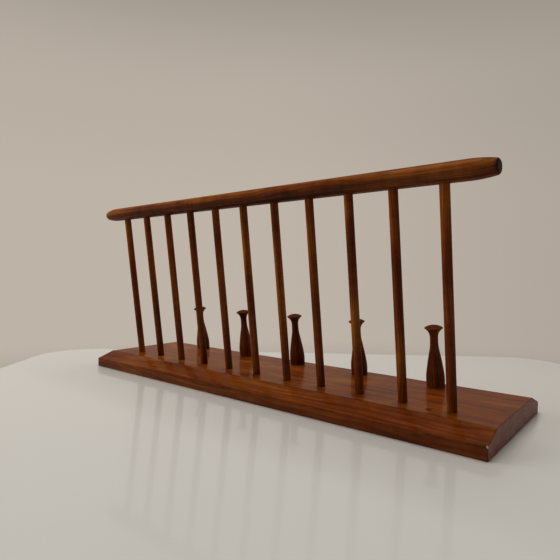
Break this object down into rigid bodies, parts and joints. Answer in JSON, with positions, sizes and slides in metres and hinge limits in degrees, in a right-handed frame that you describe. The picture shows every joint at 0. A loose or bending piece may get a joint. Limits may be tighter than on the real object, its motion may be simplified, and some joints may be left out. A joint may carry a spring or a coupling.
{
  "type": "newspaper rack",
  "caption": "Wooden wall rack: a bevelled board with a leaning fence of round spindles under a tapered oval rail along one side and a row of bottle-shaped turned pegs along the other.",
  "frame": {"origin": "centre of the board's underside, the face that lies on a table or against a wall", "axes": "+X along the board's length, +Y from the spindle fence towards the pegs, +Z out of the board's top face"},
  "size_m": [0.754, 0.229, 0.3178],
  "materials": {
    "board_wood": "gloss varnish over red-brown hardwood",
    "rail_wood": "gloss varnish over red-brown hardwood",
    "spindle_wood": "satin varnish over red-brown hardwood",
    "peg_wood": "satin varnish over dark red-brown hardwood"
  },
  "bodies": {
    "root": {"base_board": "board_wood", "top_rail": "rail_wood", "spindle_01": "spindle_wood", "spindle_02": "spindle_wood", "spindle_03": "spindle_wood", "spindle_04": "spindle_wood", "spindle_05": "spindle_wood", "spindle_06": "spindle_wood", "spindle_07": "spindle_wood", "spindle_08": "spindle_wood", "spindle_09": "spindle_wood", "spindle_10": "spindle_wood", "spindle_11": "spindle_wood", "peg_1": "peg_wood", "peg_2": "peg_wood", "peg_3": "peg_wood", "peg_4": "peg_wood", "peg_5": "peg_wood"}
  },
  "joints": []
}
